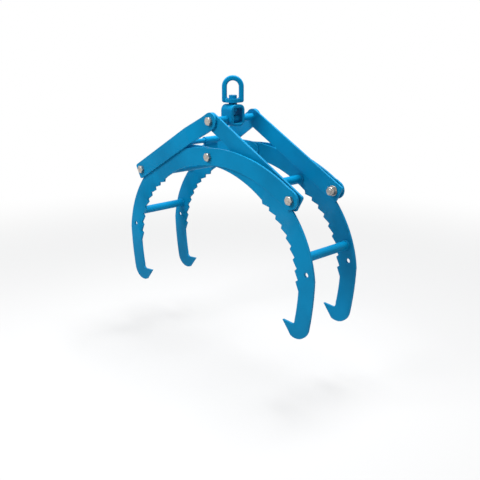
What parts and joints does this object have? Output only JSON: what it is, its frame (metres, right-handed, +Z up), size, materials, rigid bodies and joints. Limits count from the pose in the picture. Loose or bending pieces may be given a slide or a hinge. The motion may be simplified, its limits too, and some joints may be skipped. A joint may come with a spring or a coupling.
{
  "type": "log grapple",
  "caption": "Scissor log grapple with saw-toothed hook jaws, lifting links and a swivelling eye.",
  "frame": {"origin": "inside top of the lifting eye, where the hook of a crane bears", "axes": "+Z up, +X across the span of the jaws, +Y along the bolts from the front to the rear frame"},
  "size_m": [0.656, 0.1862, 0.5592],
  "materials": {
    "blue_paint": "satin",
    "zinc": "satin"
  },
  "bodies": {
    "lifting_eye": {"lifting_eye": "blue_paint"},
    "yoke": {"swivel_yoke": "blue_paint", "swivel_pin": "blue_paint", "swivel_nut": "blue_paint", "thrust_washer": "blue_paint"},
    "cross_bolt": {"cross_bolt": "zinc", "cross_washer": "zinc", "cross_nut": "zinc", "cross_sleeves": "blue_paint"},
    "outer_links": {"outer_link_front": "blue_paint", "outer_link_rear": "blue_paint", "outer_link_spacers": "blue_paint", "outer_link_bolts": "zinc", "outer_link_nuts": "zinc", "outer_link_washers": "zinc"},
    "inner_links": {"inner_link_front": "blue_paint", "inner_link_rear": "blue_paint", "inner_link_spacers": "blue_paint", "inner_link_bolts": "zinc", "inner_link_nuts": "zinc", "inner_link_washers": "zinc"},
    "inner_jaws": {"inner_jaw_front": "blue_paint", "inner_jaw_rear": "blue_paint", "inner_upper_tube": "blue_paint", "inner_lower_tube": "blue_paint", "latch_bar": "blue_paint"},
    "outer_jaws": {"outer_jaw_front": "blue_paint", "outer_jaw_rear": "blue_paint", "outer_upper_tube": "blue_paint", "outer_lower_tube": "blue_paint", "centre_bolts": "zinc", "centre_discs": "blue_paint"},
    "latch": {"latch_plate": "blue_paint"}
  },
  "joints": [
    {"name": "swivel", "type": "hinge", "parent": "lifting_eye", "child": "yoke", "pos_m": [0, 0, 0], "axis": [0, 0, 1], "continuous": true},
    {"name": "rock", "type": "hinge", "parent": "yoke", "child": "cross_bolt", "pos_m": [0, 0, -0.09], "axis": [0, 1, 0], "range_deg": [-25, 25]},
    {"name": "outer_link_swing", "type": "hinge", "parent": "cross_bolt", "child": "outer_links", "pos_m": [0, 0, -0.09], "axis": [0, 1, 0], "range_deg": [-0.5, 4]},
    {"name": "inner_link_swing", "type": "hinge", "parent": "cross_bolt", "child": "inner_links", "pos_m": [0, 0, -0.09], "axis": [0, 1, 0], "range_deg": [-4, 0.5]},
    {"name": "grip", "type": "hinge", "parent": "outer_links", "child": "inner_jaws", "pos_m": [-0.26, 0, -0.235], "axis": [0, 1, 0], "range_deg": [0, 14.4]},
    {"name": "outer_jaw_swing", "type": "hinge", "parent": "inner_links", "child": "outer_jaws", "pos_m": [0.26, 0, -0.235], "axis": [0, 1, 0], "range_deg": [-15, 0.5]},
    {"name": "latch_swing", "type": "hinge", "parent": "inner_jaws", "child": "latch", "pos_m": [-0.083, 0, -0.148], "axis": [0, 1, 0], "range_deg": [-40, 40]}
  ],
  "couplings": [
    {"joint": "outer_link_swing", "follows": "grip", "ratio": 0.25},
    {"joint": "inner_link_swing", "follows": "grip", "ratio": -0.25},
    {"joint": "outer_jaw_swing", "follows": "grip", "ratio": -1}
  ]
}
